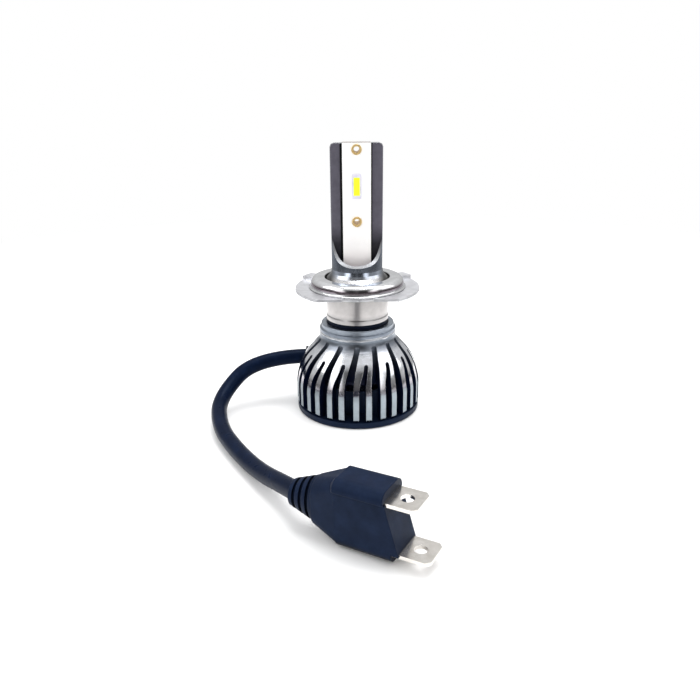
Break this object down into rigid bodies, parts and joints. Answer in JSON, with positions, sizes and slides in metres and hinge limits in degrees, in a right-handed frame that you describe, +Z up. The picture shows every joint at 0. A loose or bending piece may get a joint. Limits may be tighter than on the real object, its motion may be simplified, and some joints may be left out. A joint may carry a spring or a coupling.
{
  "type": "headlight bulb",
  "caption": "LED headlight bulb: finned heat sink with a cooling fan, lamp column lit on both faces, turning locating adapter, and a short cable to a two-blade plug.",
  "frame": {"origin": "centre of the heat sink's base cover, on the surface the bulb stands on", "axes": "+Z up the lamp column; -Y is the face seen in front; the cable leaves towards -X"},
  "size_m": [0.0598, 0.0983, 0.0753],
  "materials": {
    "black_plastic": "moulded, fine matt grain",
    "black_rubber": "satin rubber",
    "black_steel": "black oxide",
    "brass": "bright turned brass",
    "cable_jacket": "glossy blue-black jacket",
    "chip_resin": "black epoxy",
    "chromed_steel": "bright pressed steel",
    "copper_wire": "enamelled copper winding",
    "ferrite": "shielded ferrite block",
    "green_board": "solder mask over glass fibre",
    "lamination_steel": "stacked laminations",
    "machined_aluminium": "turned bright, black anodised between the fins",
    "magnet": "bonded ferrite, dull",
    "phosphor": "yellow phosphor layer",
    "plug_moulding": "satin blue-black moulding",
    "polished_column": "polished round, dark satin flats",
    "polished_steel": "polished spring steel",
    "red_insulation": "silicone insulation",
    "satin_nickel": "satin nickel plate",
    "tinned_brass": "tinned brass, warm silver",
    "tinned_copper": "tinned",
    "white_board": "white solder mask on a copper core",
    "white_ceramic": "white reflector body"
  },
  "bodies": {
    "bulb": {"base_cover": "black_plastic", "base_screws": "black_steel", "bearing_bush": "brass", "board_rivets": "brass", "cable": "cable_jacket", "cable_grommet": "black_rubber", "chip_resistors": "chip_resin", "driver_board": "green_board", "driver_capacitor": "chip_resin", "driver_ic": "chip_resin", "driver_inductor": "ferrite", "fan_board": "green_board", "fan_frame": "black_plastic", "front_board": "white_board", "front_led_package": "white_ceramic", "front_phosphor": "phosphor", "heat_sink": "machined_aluminium", "ic_legs": "tinned_copper", "input_wires": "red_insulation", "lamp_column": "polished_column", "lower_blade": "tinned_brass", "neck_seal": "black_rubber", "negative_wires": "black_rubber", "plug_body": "plug_moulding", "positive_wires": "red_insulation", "rear_board": "white_board", "rear_led_package": "white_ceramic", "rear_phosphor": "phosphor", "stator_coils": "copper_wire", "stator_core": "lamination_steel", "strain_relief": "plug_moulding", "upper_blade": "tinned_brass"},
    "fan_rotor": {"impeller": "black_plastic", "rotor_magnet": "magnet", "fan_shaft": "polished_steel"},
    "spring_clip": {"grip_spring": "polished_steel"},
    "adapter": {"adapter_flange": "satin_nickel", "locating_ring": "chromed_steel"}
  },
  "joints": [
    {"name": "fan_spin", "type": "hinge", "parent": "bulb", "child": "fan_rotor", "pos_m": [0, 0, 0.005], "axis": [0, 0, 1], "continuous": true},
    {"name": "adapter_lift", "type": "slide", "parent": "bulb", "child": "spring_clip", "axis": [0, 0, 1], "range_m": [0, 0.045]},
    {"name": "adapter_twist", "type": "hinge", "parent": "spring_clip", "child": "adapter", "pos_m": [0, 0, 0.0375], "axis": [0, 0, 1], "range_deg": [-45, 45]}
  ]
}
